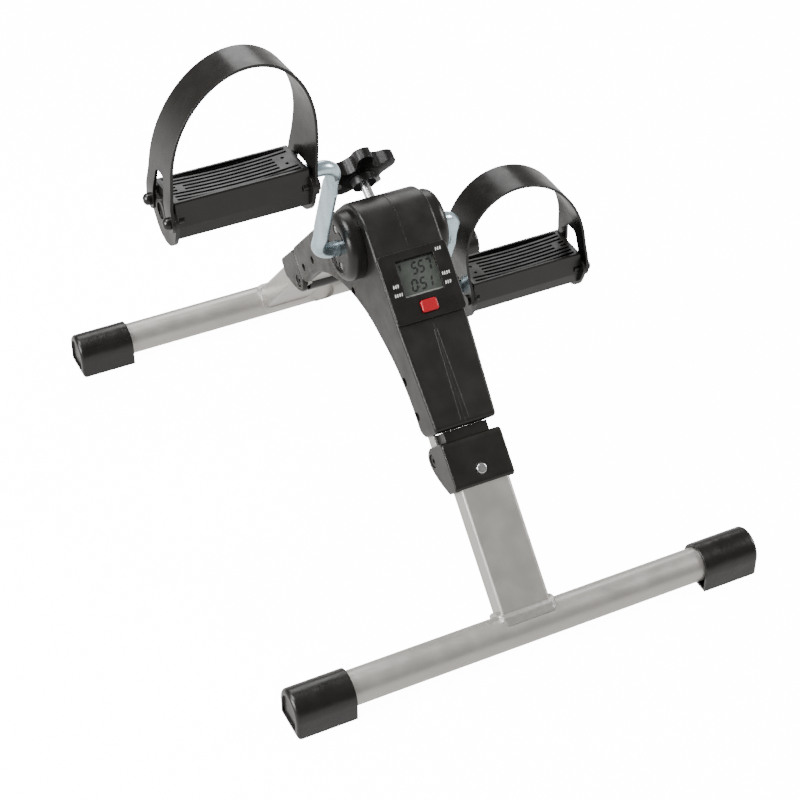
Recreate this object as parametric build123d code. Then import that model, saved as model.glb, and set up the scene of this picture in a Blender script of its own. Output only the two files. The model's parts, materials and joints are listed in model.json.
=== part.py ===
from build123d import *
import os
from math import cos, hypot, radians, sin, sqrt, tan

# Folding pedal exerciser.  Millimetres, +Z up.
# +X runs along the crank axle to the user's right, +Y points away from the user.
# The origin is on the floor, under the middle of the object.
# The frame is a Lambda: a plastic housing with two arms at 45 degrees, each
# arm ending in a hinged leg that stands on a foot bar across the object.

# ---------------------------------------------------------------- footprint
OVERALL_X = 405.0         # foot bar with its caps, end to end
BAR_Y = 239.5             # foot bar axis, before and behind the middle
BAR_RADIUS = 14.0
TUBE_WALL = 1.5
CAP_RADIUS = 17.0         # foot cap outside, also the height of the bar axis
CAP_LENGTH = 49.0
CAP_END_WALL = 5.0
CAP_SKIRT = 12.0          # open skirt at the mouth of a foot cap
CAP_SKIRT_WALL = 2.4
PLUG_X = 37.0             # round plug in the inner side of the rear foot bar
PLUG_RADIUS = 12.3

# --------------------------------------------------------------------- legs
LEG_WIDTH = 43.0
LEG_DEPTH = 20.0
LEG_CORNER = 3.0
LEG_ANGLE = {"front": 45.0, "rear": 47.0}     # from the floor
LEG_TOP = {"front": 189.0, "rear": 183.0}     # distance of the tube's top from the hub
WELD_REACH = 3.4          # how far a weld bead stands off the leg and the bar

# --------------------------------------------------------- axle and housing
ARM_Y = 6.0               # where the centre lines of the two arms meet
ARM_Z = 230.0
AXLE_Y = 9.6
AXLE_Z = 229.4
HUB_HALF = 30.0           # half width along X at the hub and the console
ARM_HALF = 26.5           # half width at the end of an arm
TAPER_S = 75.0            # where the arms begin to narrow
WALL = 2.5
HUB_RADIUS = 34.0
ARM_TOP = 34.0            # outer face of an arm, measured from its centre line
ARM_END = 162.0           # end of an arm, along the arm from the hub
TAPER = (HUB_HALF - ARM_HALF) / (ARM_END - TAPER_S)
BELLY_RADIUS = 133.0      # arch under the housing
BELLY_Z = 45.0
EDGE_ROUND = 2.4
BOSS_RADIUS = 4.5
SCREW_RADIUS = 1.5
ARM_SCREWS = {"front": (115.0, 144.0), "rear": (115.0, 146.0)}   # along each arm
ARM_SCREW_N = {"front": 8.0, "rear": 12.7}                       # off its centre line
MID_SCREW = (9.7, 183.0)

# --------------------------------------------- steel frame inside the housing
HUB_TUBE_RADIUS = 14.0
HUB_TUBE_WALL = 2.0
HUB_TUBE_HALF = 19.0
CHANNEL_HALF = 21.5
CHANNEL_WALL = 2.0
CHANNEL_LOW = 1.0
CHANNEL_HIGH = 20.0
BELLY_SLOT = 97.0         # where the open underside of an arm begins

# ------------------------------------------------------------------- hinges
PIVOT_S = {"front": 181.0, "rear": 174.0}
PIVOT_N = 6.0
EAR_RADIUS = 6.4
BOLT_RADIUS = 3.0
COLLAR_HALF = 26.0
COLLAR_START = {"front": 170.6, "rear": 163.6}
COLLAR_END = {"front": 210.0, "rear": 204.0}
COLLAR_TOP = {"front": 34.8, "rear": 33.0}
LOCK_S = {"front": 197.8, "rear": 192.0}
LOCK_RADIUS = 4.4
LOCK_PROUD = 1.2
FOLD_CLEARANCE = 0.6

# -------------------------------------------------------------------- crank
ROD_RADIUS = 6.0
ARM_X = 61.0              # plane of a crank arm
CRANK_RADIUS = 113.0
CRANK_TILT = 20.4         # left arm, from straight up towards the user
BEND = 13.0               # centre-line radius of the rod's bends
FLAT_WIDTH = 19.0         # pressed flat of a crank arm
FLAT_THICK = 6.2
FLAT_BLEND = 15.0
SPINDLE_END = 189.2
RUN = 0.05                # running clearance on a radius

# ------------------------------------------------------------------- pedals
PEDAL_IN = 90.4
PEDAL_OUT = 193.9
PLATE = 3.0
PEDAL_HALF = 21.0         # half depth
PEDAL_TOP = 14.8
PEDAL_EDGE = -5.4         # where the lower facets begin
PEDAL_BOTTOM = -16.5
PEDAL_TILT = {"left": 4.0, "right": 0.5}     # front edge up
GROOVES = 8
GROOVE_PITCH = 4.6
GROOVE_WIDTH = 2.2
RIVET_OFFSET = 20.0
RIVET_RADIUS = 4.6
RIVET_PROUD = 5.0
STRAP_THICK = 2.2
STRAP_HEIGHT = 105.0      # top of the strap above the spindle
STRAP_SPRING = 35.0       # height where the strap's arch begins
STRAP_WALL = 8.5          # flat part of its sides
STRAP_SHIFT = 14.2        # lean of the arch towards the crank
STRAP_LEAN = {"left": 0.0, "right": 4.6}     # towards the user, degrees from the pedal's up
STRAP_TOP_WIDTH = 36.0
STRAP_FOOT_WIDTH = 54.6
STRAP_GAP = {"outer": 31.0, "inner": 13.0}    # top of the gap between its two legs

# -------------------------------------------------------------------- brake
DRUM_RADIUS = 10.0
DRUM_HALF = 12.0
SHOE_RADIUS = 6.0
SHOE_GAP = 1.35
BRAKE_TILT = 60.0         # screw axis, from straight up towards the rear
TENSION_RADIUS = 4.0
KNOB_LOW = 46.0           # underside of the knob's neck, from the axle
KNOB_MIDDLE = 60.0        # middle of the lobes
KNOB_THICK = 14.4
KNOB_TIP_THICK = 8.4
KNOB_RADIUS = 30.8
KNOB_LOBES = 5
KNOB_PHASE = -21.5

# ------------------------------------------------------------------ console
CONSOLE_TOP_S = 18.5
CONSOLE_LOW_S = 75.0
CONSOLE_FACE = 37.4
WINDOW_HALF = 16.5
WINDOW_S = (25.5, 55.0)
BUTTON_S = 65.0
BUTTON_SIZE = (14.0, 10.0)
BOARD_N = 27.0
BOARD_THICK = 1.6
SENSOR_TILT = -45.0       # magnet and sensor, from straight up
SENSOR_X = 9.0

# ------------------------------------------------------------ bearing caps
BEARING_OUT = 44.0
BEARING_RADIUS = 28.0
BEARING_SCREW_R = 15.5

SIDE = {"front": -1, "rear": 1}
HAND = {"left": -1, "right": 1}
C45 = sqrt(0.5)
ALONG_X = (1, 0, 0)

parts = {}


# ------------------------------------------------------------------ helpers
def arm_yz(side, s, n):
    """Point s along an arm from the hub and n outwards from its centre line."""
    k = SIDE[side]
    return (ARM_Y + k * C45 * (s + n), ARM_Z + C45 * (n - s))


def face_of(points):
    """Flat face through (y, z) points."""
    return make_face(Polyline(*points, close=True))


def prism(profile, x_low, x_high):
    """A (y, z) profile carried along X between two planes."""
    return extrude(Plane.YZ.offset(x_low) * profile, amount=x_high - x_low, dir=ALONG_X)


def rod_x(y, z, radius, x_low, x_high):
    """Cylinder along X."""
    return prism(Pos(y, z) * Circle(radius), x_low, x_high)


def ring_x(y, z, outer, inner, x_low, x_high):
    """Tube along X."""
    return prism(Pos(y, z) * (Circle(outer) - Circle(inner)), x_low, x_high)


def arm_face(side, s, n, x=0.0):
    """Plane on an arm, looking outwards: local x is X."""
    y, z = arm_yz(side, s, n)
    return Plane(origin=(x, y, z), x_dir=ALONG_X, z_dir=(0, SIDE[side] * C45, C45))


def along_normal(side, s, x, n_low, n_high, sketch):
    """A sketch on the arm's face carried outwards from n_low to n_high."""
    return extrude(arm_face(side, s, n_low, x) * sketch, amount=n_high - n_low)


def spoke(tilt, x, low, high, sketch):
    """A sketch carried along a line through the axle, tilted from straight up to the rear."""
    a = radians(tilt)
    origin = (x, AXLE_Y + low * sin(a), AXLE_Z + low * cos(a))
    frame = Plane(origin=origin, x_dir=ALONG_X, z_dir=(0, sin(a), cos(a)))
    return extrude(frame * sketch, amount=high - low)


def nearest(items, point):
    """The vertex closest to a point in the sketch plane."""
    return min(items, key=lambda v: (v.X - point[0]) ** 2 + (v.Y - point[1]) ** 2)


def quad(side, s_low, s_high, n_low, n_high):
    """Rectangle in an arm's own frame, as (y, z) points."""
    corners = ((s_low, n_low), (s_high, n_low), (s_high, n_high), (s_low, n_high))
    return face_of([arm_yz(side, s, n) for s, n in corners])


def edges_at_x(solid, x):
    """Edges that lie in the plane at x."""
    return solid.edges().filter_by_position(Axis.X, x - 0.01, x + 0.01)


# ------------------------------------------------------------------ housing
def housing_profile():
    hub = Pos(ARM_Y, ARM_Z) * Circle(HUB_RADIUS)
    profile = hub
    for side in SIDE:
        corners = ((0, ARM_TOP), (ARM_END, ARM_TOP), (ARM_END, -10), (0, -75))
        profile = profile + face_of([arm_yz(side, s, n) for s, n in corners])
    profile = profile - Pos(ARM_Y, BELLY_Z) * Circle(BELLY_RADIUS)
    for side in SIDE:
        top = nearest(profile.vertices(), arm_yz(side, ARM_END, ARM_TOP))
        profile = fillet(top, 4.0)
        low = nearest(profile.vertices(), arm_yz(side, ARM_END, -1.5))
        profile = fillet(low, 9.0)
    return profile


def screw_points():
    points = [arm_yz(side, s, ARM_SCREW_N[side]) for side in SIDE for s in ARM_SCREWS[side]]
    points.append(MID_SCREW)
    return points


def housing_openings():
    """Everything cut out of both shells."""
    cuts = []
    for side in SIDE:
        slot_half = CHANNEL_HALF + 0.3
        cuts.append(prism(quad(side, BELLY_SLOT, ARM_END + 5, -12, 6), -slot_half, slot_half))
        mouth = quad(side, ARM_END - 6, ARM_END + 5, -5, CHANNEL_HIGH + 0.5)
        cuts.append(prism(mouth, -slot_half, slot_half))
    middle = (CONSOLE_TOP_S + CONSOLE_LOW_S) / 2
    opening = Rectangle(45, 53)
    cuts.append(along_normal("front", middle, 0, 30.0, 36.0, opening))
    cuts.append(spoke(BRAKE_TILT, 0, 20.0, 45.0, Circle(TENSION_RADIUS + 1.0)))
    return cuts


def half_width(y, z):
    """Half width of the housing at a point of its outline."""
    s = C45 * (abs(y - ARM_Y) - (z - ARM_Z))
    return HUB_HALF - TAPER * max(0.0, s - TAPER_S)


def arm_taper(side, k, inset):
    """What the narrowing of an arm takes off one side, or off the hollow inside it."""
    way = SIDE[side]
    end = ARM_END + 10.0
    points = [(k * (HUB_HALF - inset), way * TAPER_S),
              (k * (HUB_HALF - inset - TAPER * (end - TAPER_S)), way * end),
              (k * 40.0, way * end), (k * 40.0, way * TAPER_S)]
    return along_normal(side, 0, 0, -60.0, 60.0, face_of(points))


def side_edges(solid, k):
    """Edges round the outer side of a shell, without those between its own facets."""
    facets = [f for f in solid.faces() if abs(f.normal_at().X) > 0.95 and k * f.center().X > 15]
    edges = [edge for facet in facets for edge in facet.edges()]
    middles = [edge @ 0.5 for edge in edges]
    return [edge for i, edge in enumerate(edges)
            if all(i == j or (middles[i] - other).length > 0.01
                   for j, other in enumerate(middles))]


def housing_shell(hand, outer, inner):
    k = HAND[hand]
    low, high = sorted((0.0, k * HUB_HALF))
    shell = prism(outer, low, high)
    for side in SIDE:
        shell = shell - arm_taper(side, k, 0.0)
    shell = fillet(side_edges(shell, k), EDGE_ROUND)
    low, high = sorted((0.0, k * (HUB_HALF - WALL)))
    hollow = prism(inner, low, high)
    for side in SIDE:
        hollow = hollow - arm_taper(side, k, WALL)
    shell = shell - hollow
    low, high = sorted((k * HUB_TUBE_HALF, k * (HUB_HALF - 1.0)))
    shell = shell + rod_x(AXLE_Y, AXLE_Z, 20.5, low, high)
    for y, z in screw_points():
        low, high = sorted((k * 0.05, k * (half_width(y, z) - 1.0)))
        shell = shell + rod_x(y, z, BOSS_RADIUS, low, high)
    for y, z in screw_points():
        if hand == "left":
            shell = shell - rod_x(y, z, SCREW_RADIUS + 0.2, -32, 0)
            shell = shell - rod_x(y, z, 3.5, -32, -21)
        else:
            shell = shell - rod_x(y, z, SCREW_RADIUS, -1, 15)
    for cut in housing_openings():
        shell = shell - cut
    low, high = sorted((k * 10, k * 32))
    shell = shell - rod_x(AXLE_Y, AXLE_Z, 12.0 + RUN, low, high)
    low, high = sorted((k * 20, k * 32))
    for y, z in bearing_screw_points():
        shell = shell - rod_x(y, z, SCREW_RADIUS, low, high)
    parts[hand + "_housing_shell"] = shell


def housing():
    outer = housing_profile()
    inner = offset(outer, amount=-WALL)
    for hand in HAND:
        housing_shell(hand, outer, inner)
    screws = []
    for y, z in screw_points():
        head = rod_x(y, z, 3.1, -23.6, -21.0)
        slot = Pos(-23.6, y, z) * Box(1.6, 0.9, 4.6)
        shank = rod_x(y, z, SCREW_RADIUS - 0.03, -21.0, 14.0)
        screws.append(head + shank - slot)
    parts["housing_screws"] = Compound(children=screws)


# ------------------------------------------------------------- bearing caps
def bearing_screw_points():
    points = []
    for angle in (70.0, 250.0):
        a = radians(angle)
        points.append((AXLE_Y + BEARING_SCREW_R * cos(a), AXLE_Z + BEARING_SCREW_R * sin(a)))
    return points


def bearing_cap(hand):
    k = HAND[hand]
    foot_x = k * (HUB_HALF + 0.02)
    out_x = k * BEARING_OUT
    low, high = sorted((foot_x, out_x))
    cap = rod_x(AXLE_Y, AXLE_Z, BEARING_RADIUS, low, high)
    cap = fillet(edges_at_x(cap, out_x), 6.5)
    dish_low, dish_high = sorted((k * (BEARING_OUT - 1.2), k * (BEARING_OUT + 1)))
    cap = cap - rod_x(AXLE_Y, AXLE_Z, 20.0, dish_low, dish_high)
    cap = cap - rod_x(AXLE_Y, AXLE_Z, ROD_RADIUS + 0.6, low - 1, high + 1)
    deep_low, deep_high = sorted((k * (BEARING_OUT - 4.2), k * (BEARING_OUT + 1)))
    for y, z in bearing_screw_points():
        cap = cap - rod_x(y, z, 3.6, deep_low, deep_high)
        cap = cap - rod_x(y, z, SCREW_RADIUS + 0.2, low - 1, high + 1)
    ring = Pos(AXLE_Y, AXLE_Z) * (Circle(17.6) - Circle(15.2))
    for angle in (120.0, 300.0):
        wedge = face_of([(AXLE_Y, AXLE_Z)] + [
            (AXLE_Y + 30 * cos(radians(angle + d)), AXLE_Z + 30 * sin(radians(angle + d)))
            for d in (-22, 0, 22)])
        slot_low, slot_high = sorted((k * (BEARING_OUT - 4.0), k * (BEARING_OUT + 1)))
        cap = cap - prism(ring & wedge, slot_low, slot_high)
    parts[hand + "_bearing_cap"] = cap


def bearing_screws(hand):
    k = HAND[hand]
    screws = []
    for y, z in bearing_screw_points():
        head_low, head_high = sorted((k * (BEARING_OUT - 4.2), k * (BEARING_OUT - 1.8)))
        head = rod_x(y, z, 3.1, head_low, head_high)
        slot = Pos(k * (BEARING_OUT - 1.8), y, z) * Box(1.6, 4.4, 0.9)
        shank_low, shank_high = sorted((k * 20.2, k * (BEARING_OUT - 4.2)))
        screws.append(head + rod_x(y, z, SCREW_RADIUS - 0.03, shank_low, shank_high) - slot)
    return screws


def axle_bush(hand):
    k = HAND[hand]
    low, high = sorted((k * (DRUM_HALF + 0.6), k * (HUB_HALF - 0.1)))
    return ring_x(AXLE_Y, AXLE_Z, 12.0 - 0.02, ROD_RADIUS + RUN, low, high)


def bearings():
    for hand in HAND:
        bearing_cap(hand)
    screws = bearing_screws("left") + bearing_screws("right")
    parts["bearing_cap_screws"] = Compound(children=screws)
    parts["axle_bushes"] = Compound(children=[axle_bush(hand) for hand in HAND])


# -------------------------------------------------------- inner steel frame
def inner_frame():
    tube = ring_x(AXLE_Y, AXLE_Z, HUB_TUBE_RADIUS, HUB_TUBE_RADIUS - HUB_TUBE_WALL,
                  -HUB_TUBE_HALF + 0.05, HUB_TUBE_HALF - 0.05)
    tube = tube - spoke(BRAKE_TILT, 0, 5, 20, Circle(SHOE_RADIUS + 0.3))
    tube = tube - spoke(SENSOR_TILT, SENSOR_X, 5, 20, Circle(2.8))
    parts["hub_tube"] = tube
    boss = spoke(BRAKE_TILT, 0, 10.0, 26.0, Circle(8.0))
    boss = boss - rod_x(AXLE_Y, AXLE_Z, HUB_TUBE_RADIUS + 0.03, -20, 20)
    boss = boss - spoke(BRAKE_TILT, 0, 8.0, 22.5, Circle(SHOE_RADIUS + RUN))
    boss = boss - spoke(BRAKE_TILT, 0, 20.0, 35.0, Circle(TENSION_RADIUS + RUN))
    parts["brake_boss"] = boss
    for side in SIDE:
        inner_arm(side)


def inner_arm(side):
    s_end = PIVOT_S[side]
    body = quad(side, 9.5, ARM_END + 2, CHANNEL_LOW, CHANNEL_HIGH)
    ear_root = quad(side, ARM_END - 4, s_end, PIVOT_N - EAR_RADIUS, PIVOT_N + EAR_RADIUS)
    cheek = quad(side, 9.5, ARM_END - 4, CHANNEL_LOW, CHANNEL_HIGH)
    eye = Pos(*arm_yz(side, s_end, PIVOT_N)) * Circle(EAR_RADIUS)
    flange = cheek + ear_root + eye
    arm = prism(flange, -CHANNEL_HALF, -CHANNEL_HALF + CHANNEL_WALL)
    arm = arm + prism(flange, CHANNEL_HALF - CHANNEL_WALL, CHANNEL_HALF)
    web = quad(side, 9.5, ARM_END, CHANNEL_LOW, CHANNEL_LOW + CHANNEL_WALL)
    arm = arm + prism(web & body, -CHANNEL_HALF, CHANNEL_HALF)
    arm = arm - rod_x(AXLE_Y, AXLE_Z, 21.0, -30, 30)
    web_foot = quad(side, 11.0, 24.0, CHANNEL_LOW, CHANNEL_LOW + CHANNEL_WALL)
    foot = prism(web_foot, -15.0, 15.0)
    arm = arm + foot - rod_x(AXLE_Y, AXLE_Z, HUB_TUBE_RADIUS + 0.03, -30, 30)
    y, z = arm_yz(side, s_end, PIVOT_N)
    arm = arm - rod_x(y, z, BOLT_RADIUS + RUN, -30, 30)
    for s in ARM_SCREWS[side]:
        y, z = arm_yz(side, s, ARM_SCREW_N[side])
        arm = arm - rod_x(y, z, BOSS_RADIUS + 0.2, -30, 30)
    parts[side + "_inner_arm"] = arm


# --------------------------------------------------------------------- legs
def leg_plane(side):
    """Plane across a leg at the foot bar's axis: local x is X, +z runs up the leg."""
    a = radians(LEG_ANGLE[side])
    k = SIDE[side]
    return Plane(origin=(0, k * BAR_Y, CAP_RADIUS), x_dir=ALONG_X, z_dir=(0, -k * cos(a), sin(a)))


def leg_length(side):
    y, z = arm_yz(side, LEG_TOP[side], 20.0)
    a = radians(LEG_ANGLE[side])
    k = SIDE[side]
    return -k * cos(a) * (y - k * BAR_Y) + sin(a) * (z - CAP_RADIUS)


def leg_envelope(side, grow=0.0, start=0.0):
    """The leg's outside as a solid bar, grown by some clearance."""
    section = RectangleRounded(LEG_WIDTH + 2 * grow, LEG_DEPTH + 2 * grow, LEG_CORNER + grow)
    frame = leg_plane(side)
    return extrude(frame.offset(start) * section, amount=leg_length(side) - start + grow)


def leg(side):
    k = SIDE[side]
    frame = leg_plane(side)
    inside = RectangleRounded(LEG_WIDTH - 2 * TUBE_WALL, LEG_DEPTH - 2 * TUBE_WALL,
                              LEG_CORNER - TUBE_WALL)
    solid = leg_envelope(side)
    tube = solid - extrude(frame * inside, amount=leg_length(side) + 5)
    tube = tube - rod_x(k * BAR_Y, CAP_RADIUS, BAR_RADIUS + 0.02, -60, 60)
    tube = tube - along_normal(side, LOCK_S[side], 0, 20.0, 45.0, Circle(LOCK_RADIUS + 0.15))
    parts[side + "_leg"] = tube
    section = RectangleRounded(LEG_WIDTH + 2 * WELD_REACH, LEG_DEPTH + 2 * WELD_REACH, 6.0)
    reach = rod_x(k * BAR_Y, CAP_RADIUS, BAR_RADIUS + WELD_REACH, -40, 40)
    bead = extrude(frame * section, amount=30.0) & reach
    bead = bead - rod_x(k * BAR_Y, CAP_RADIUS, BAR_RADIUS + 0.01, -60, 60)
    parts[side + "_weld"] = bead - leg_envelope(side, 0.02)
    half = OVERALL_X / 2 - CAP_END_WALL
    bar = ring_x(k * BAR_Y, CAP_RADIUS, BAR_RADIUS, BAR_RADIUS - TUBE_WALL, -half, half)
    if side == "rear":
        bar = bar - bar_plug_well()
        parts["rear_bar_plug"] = bar_plug()
    parts[side + "_foot_bar"] = bar
    parts[side + "_foot_caps"] = Compound(children=[foot_cap(side, hand) for hand in HAND])


def bar_plug_well():
    """Round hole in the inner side of the rear bar."""
    frame = Plane(origin=(PLUG_X, BAR_Y - 4, CAP_RADIUS), x_dir=ALONG_X, z_dir=(0, -1, 0))
    return extrude(frame * Circle(PLUG_RADIUS + 0.02), amount=20.0)


def bar_plug():
    """Dished metal plug that closes the hole."""
    frame = Plane(origin=(PLUG_X, BAR_Y - 4, CAP_RADIUS), x_dir=ALONG_X, z_dir=(0, -1, 0))
    plug = extrude(frame * Circle(PLUG_RADIUS), amount=14.0)
    plug = plug & rod_x(BAR_Y, CAP_RADIUS, BAR_RADIUS + 0.6, PLUG_X - 20, PLUG_X + 20)
    dish = extrude(frame.offset(5.5) * Circle(PLUG_RADIUS - 1.6), amount=12.0)
    return plug - dish


def cap_section(radius):
    """Round top on a square foot, flat on the floor."""
    return Circle(radius) + Pos(0, -radius / 2) * Rectangle(2 * radius, radius)


def foot_cap(side, hand):
    y = SIDE[side] * BAR_Y
    k = HAND[hand]
    out_x = k * OVERALL_X / 2
    mouth_x = k * (OVERALL_X / 2 - CAP_LENGTH)
    low, high = sorted((mouth_x, out_x))
    centre = Pos(y, CAP_RADIUS)
    cap = prism(centre * cap_section(CAP_RADIUS), low, high)
    cap = fillet(edges_at_x(cap, out_x), 3.2)
    corners = cap.edges().filter_by(Axis.X).sort_by(Axis.Z)[0:2]
    cap = fillet(corners, 1.5)
    bore_low, bore_high = sorted((mouth_x - k, out_x - k * (CAP_END_WALL - 0.05)))
    cap = cap - rod_x(y, CAP_RADIUS, BAR_RADIUS + 0.04, bore_low, bore_high)
    skirt_low, skirt_high = sorted((mouth_x - k, mouth_x + k * CAP_SKIRT))
    skirt = centre * cap_section(CAP_RADIUS - CAP_SKIRT_WALL)
    cap = cap - prism(skirt, skirt_low, skirt_high)
    arch_low, arch_high = sorted((out_x - k * 1.6, out_x + k))
    arch = centre * cap_section(CAP_RADIUS - 5.0)
    return cap - prism(arch, arch_low, arch_high)


# ------------------------------------------------------------------- hinges
def collar_profile(side):
    """D-shaped hinge cover: flat outer face, rounded bulge round the pivot."""
    s0 = COLLAR_START[side]
    s1 = COLLAR_END[side]
    top = COLLAR_TOP[side]
    sp = PIVOT_S[side]
    back = Spline(*[arm_yz(side, s, n) for s, n in (
        (s0, 5.0), (sp - 1.0, PIVOT_N - 10.0), (sp + 13.0, PIVOT_N - 4.5), (s1, 17.0))])
    rim = Polyline(arm_yz(side, s1, 17.0), arm_yz(side, s1, top), arm_yz(side, s0, top),
                   arm_yz(side, s0, 5.0))
    return make_face(back + rim)


def collar(side):
    s0 = COLLAR_START[side]
    s1 = COLLAR_END[side]
    profile = collar_profile(side)
    for s, n, r in ((s0, COLLAR_TOP[side], 4.0), (s1, COLLAR_TOP[side], 4.0), (s0, 5.0, 3.0)):
        profile = fillet(nearest(profile.vertices(), arm_yz(side, s, n)), r)
    block = prism(profile, -COLLAR_HALF, COLLAR_HALF)
    block = fillet(edges_at_x(block, COLLAR_HALF) + edges_at_x(block, -COLLAR_HALF), 1.6)
    tongue_half = CHANNEL_HALF - CHANNEL_WALL - FOLD_CLEARANCE
    tongue = quad(side, ARM_END + 0.6, s0 + 6, PIVOT_N + 0.5, 28.0)
    block = block + prism(tongue, -tongue_half, tongue_half)
    block = block - leg_envelope(side, 0.04, 40.0)
    slot_half = CHANNEL_HALF + FOLD_CLEARANCE
    slot_in = CHANNEL_HALF - CHANNEL_WALL - FOLD_CLEARANCE
    y, z = arm_yz(side, PIVOT_S[side], PIVOT_N)
    reach = EAR_RADIUS + FOLD_CLEARANCE
    sweep = quad(side, s0 - 5, PIVOT_S[side], PIVOT_N - reach, PIVOT_N + reach)
    sweep = sweep + quad(side, PIVOT_S[side] - reach, PIVOT_S[side] + reach, -25, PIVOT_N)
    sweep = sweep + quad(side, s0 - 5, PIVOT_S[side], -25, PIVOT_N)
    sweep = sweep + Pos(y, z) * Circle(reach)
    for k in (-1, 1):
        low, high = sorted((k * slot_in, k * slot_half))
        block = block - prism(sweep, low, high)
    block = block - rod_x(y, z, BOLT_RADIUS + 0.02, -30, 30)
    block = block - rod_x(y, z, 5.6, -30, -COLLAR_HALF + 3.2)
    block = block - rod_x(y, z, 5.6, COLLAR_HALF - 3.2, 30)
    block = block - along_normal(side, LOCK_S[side], 0, 25.0, 45.0, Circle(LOCK_RADIUS + 0.7))
    parts[side + "_collar"] = block


def hinge_bolt(side):
    y, z = arm_yz(side, PIVOT_S[side], PIVOT_N)
    head_x = COLLAR_HALF - 3.2
    bolt = rod_x(y, z, BOLT_RADIUS, -head_x, head_x + 2.6)
    head = rod_x(y, z, 5.0, -head_x - 2.6, -head_x)
    socket = Pos(y, z) * RegularPolygon(2.2, 6)
    bolt = bolt + head - prism(socket, -head_x - 3, -head_x - 1.0)
    parts[side + "_hinge_bolt"] = bolt
    ring = Pos(y, z) * (RegularPolygon(5.4, 6) - Circle(BOLT_RADIUS + 0.02))
    parts[side + "_hinge_nut"] = prism(ring, head_x + 0.02, head_x + 2.6)


def lock_button(side):
    s = LOCK_S[side]
    top = COLLAR_TOP[side] + LOCK_PROUD
    pin = along_normal(side, s, 0, 22.0, top, Circle(LOCK_RADIUS))
    pin = fillet(pin.faces().sort_by(Axis.Z)[-1].edges(), 1.4)
    parts[side + "_lock_button"] = pin
    strip = [(s - 4.5, 21.0), (s + 4.5, 21.0), (s + 30.0, 17.2), (s + 30.0, 16.4), (s + 4.5, 20.2),
             (s - 4.5, 20.2)]
    parts[side + "_lock_spring"] = prism(face_of([arm_yz(side, a, b) for a, b in strip]), -4.0, 4.0)


# -------------------------------------------------------------------- crank
def crank_direction():
    """Unit (y, z) from the axle to the left pedal's spindle."""
    a = radians(CRANK_TILT)
    return (-sin(a), cos(a))


def spindle_yz(hand):
    dy, dz = crank_direction()
    k = -HAND[hand]
    return (AXLE_Y + k * CRANK_RADIUS * dy, AXLE_Z + k * CRANK_RADIUS * dz)


def crank_half(k):
    """From the middle of the axle to the end of one spindle; k is -1 left, +1 right."""
    dy, dz = crank_direction()
    out = Vector(0, -k * dy, -k * dz)
    axis = Vector(k, 0, 0)
    centre = Vector(0, AXLE_Y, AXLE_Z)

    def at(x, r):
        return centre + axis * x + out * r

    low_turn = at(ARM_X - BEND, 0)
    high_turn = at(ARM_X + BEND, CRANK_RADIUS)
    path = [Line(at(0, 0), low_turn)]
    path.append(TangentArc(low_turn, at(ARM_X, BEND), tangent=axis))
    section = Plane(origin=at(0, 0), z_dir=axis) * Circle(ROD_RADIUS)
    rod = sweep(section, path=path[0] + path[1])
    spindle_arc = TangentArc(at(ARM_X, CRANK_RADIUS - BEND), high_turn, tangent=out)
    spindle = Line(high_turn, at(SPINDLE_END, CRANK_RADIUS))
    upper = Plane(origin=at(ARM_X, CRANK_RADIUS - BEND), x_dir=axis, z_dir=out) * Circle(ROD_RADIUS)
    rod = rod + sweep(upper, path=spindle_arc + spindle)

    def section_at(r, sketch):
        return Plane(origin=at(ARM_X, r), x_dir=axis, z_dir=out) * sketch

    flat = RectangleRounded(FLAT_THICK, FLAT_WIDTH, FLAT_THICK / 2 - 0.1)
    r1 = BEND + FLAT_BLEND
    r2 = CRANK_RADIUS - BEND - FLAT_BLEND
    rod = rod + loft([section_at(BEND, Circle(ROD_RADIUS)), section_at(r1, flat)])
    rod = rod + extrude(section_at(r1, flat), amount=r2 - r1)
    return rod + loft([section_at(r2, flat), section_at(CRANK_RADIUS - BEND, Circle(ROD_RADIUS))])


def crank():
    parts["crank"] = crank_half(-1) + crank_half(1)
    drum = ring_x(AXLE_Y, AXLE_Z, DRUM_RADIUS, ROD_RADIUS + 0.02, -DRUM_HALF, DRUM_HALF)
    pocket = spoke(SENSOR_TILT, SENSOR_X, DRUM_RADIUS - 2.6, DRUM_RADIUS + 2, Circle(2.0))
    parts["friction_drum"] = drum - pocket
    parts["speed_magnet"] = spoke(SENSOR_TILT, SENSOR_X, DRUM_RADIUS - 2.55, DRUM_RADIUS - 0.3,
                                  Circle(1.95))
    clips = []
    for hand in HAND:
        y, z = spindle_yz(hand)
        k = HAND[hand]
        low, high = sorted((k * (SPINDLE_END - 4.0), k * (SPINDLE_END - 1.5)))
        clips.append(ring_x(y, z, 8.4, ROD_RADIUS + 0.02, low, high))
    parts["spindle_clips"] = Compound(children=clips)


# -------------------------------------------------------------------- brake
def about_brake_axis(points):
    """A (radius, distance from the axle) outline turned about the brake screw's axis."""
    a = radians(BRAKE_TILT)
    direction = Vector(0, sin(a), cos(a))
    origin = (0, AXLE_Y, AXLE_Z)
    frame = Plane(origin=origin, x_dir=ALONG_X, z_dir=Vector(ALONG_X).cross(direction))
    return revolve(frame * face_of(points), axis=Axis(origin, direction))


def knob_star():
    blank = Circle(KNOB_RADIUS - 13.0)
    reach = KNOB_RADIUS - 7.2
    for i in range(KNOB_LOBES):
        angle = KNOB_PHASE + i * 360 / KNOB_LOBES
        lobe = Pos(reach, 0) * Circle(7.2) + Pos(reach / 2, 0) * Rectangle(reach, 14.4)
        blank = blank + Rot(0, 0, angle) * lobe
    return fillet(blank.vertices().filter_by(lambda v: hypot(v.X, v.Y) < reach - 1.0), 4.5)


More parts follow.
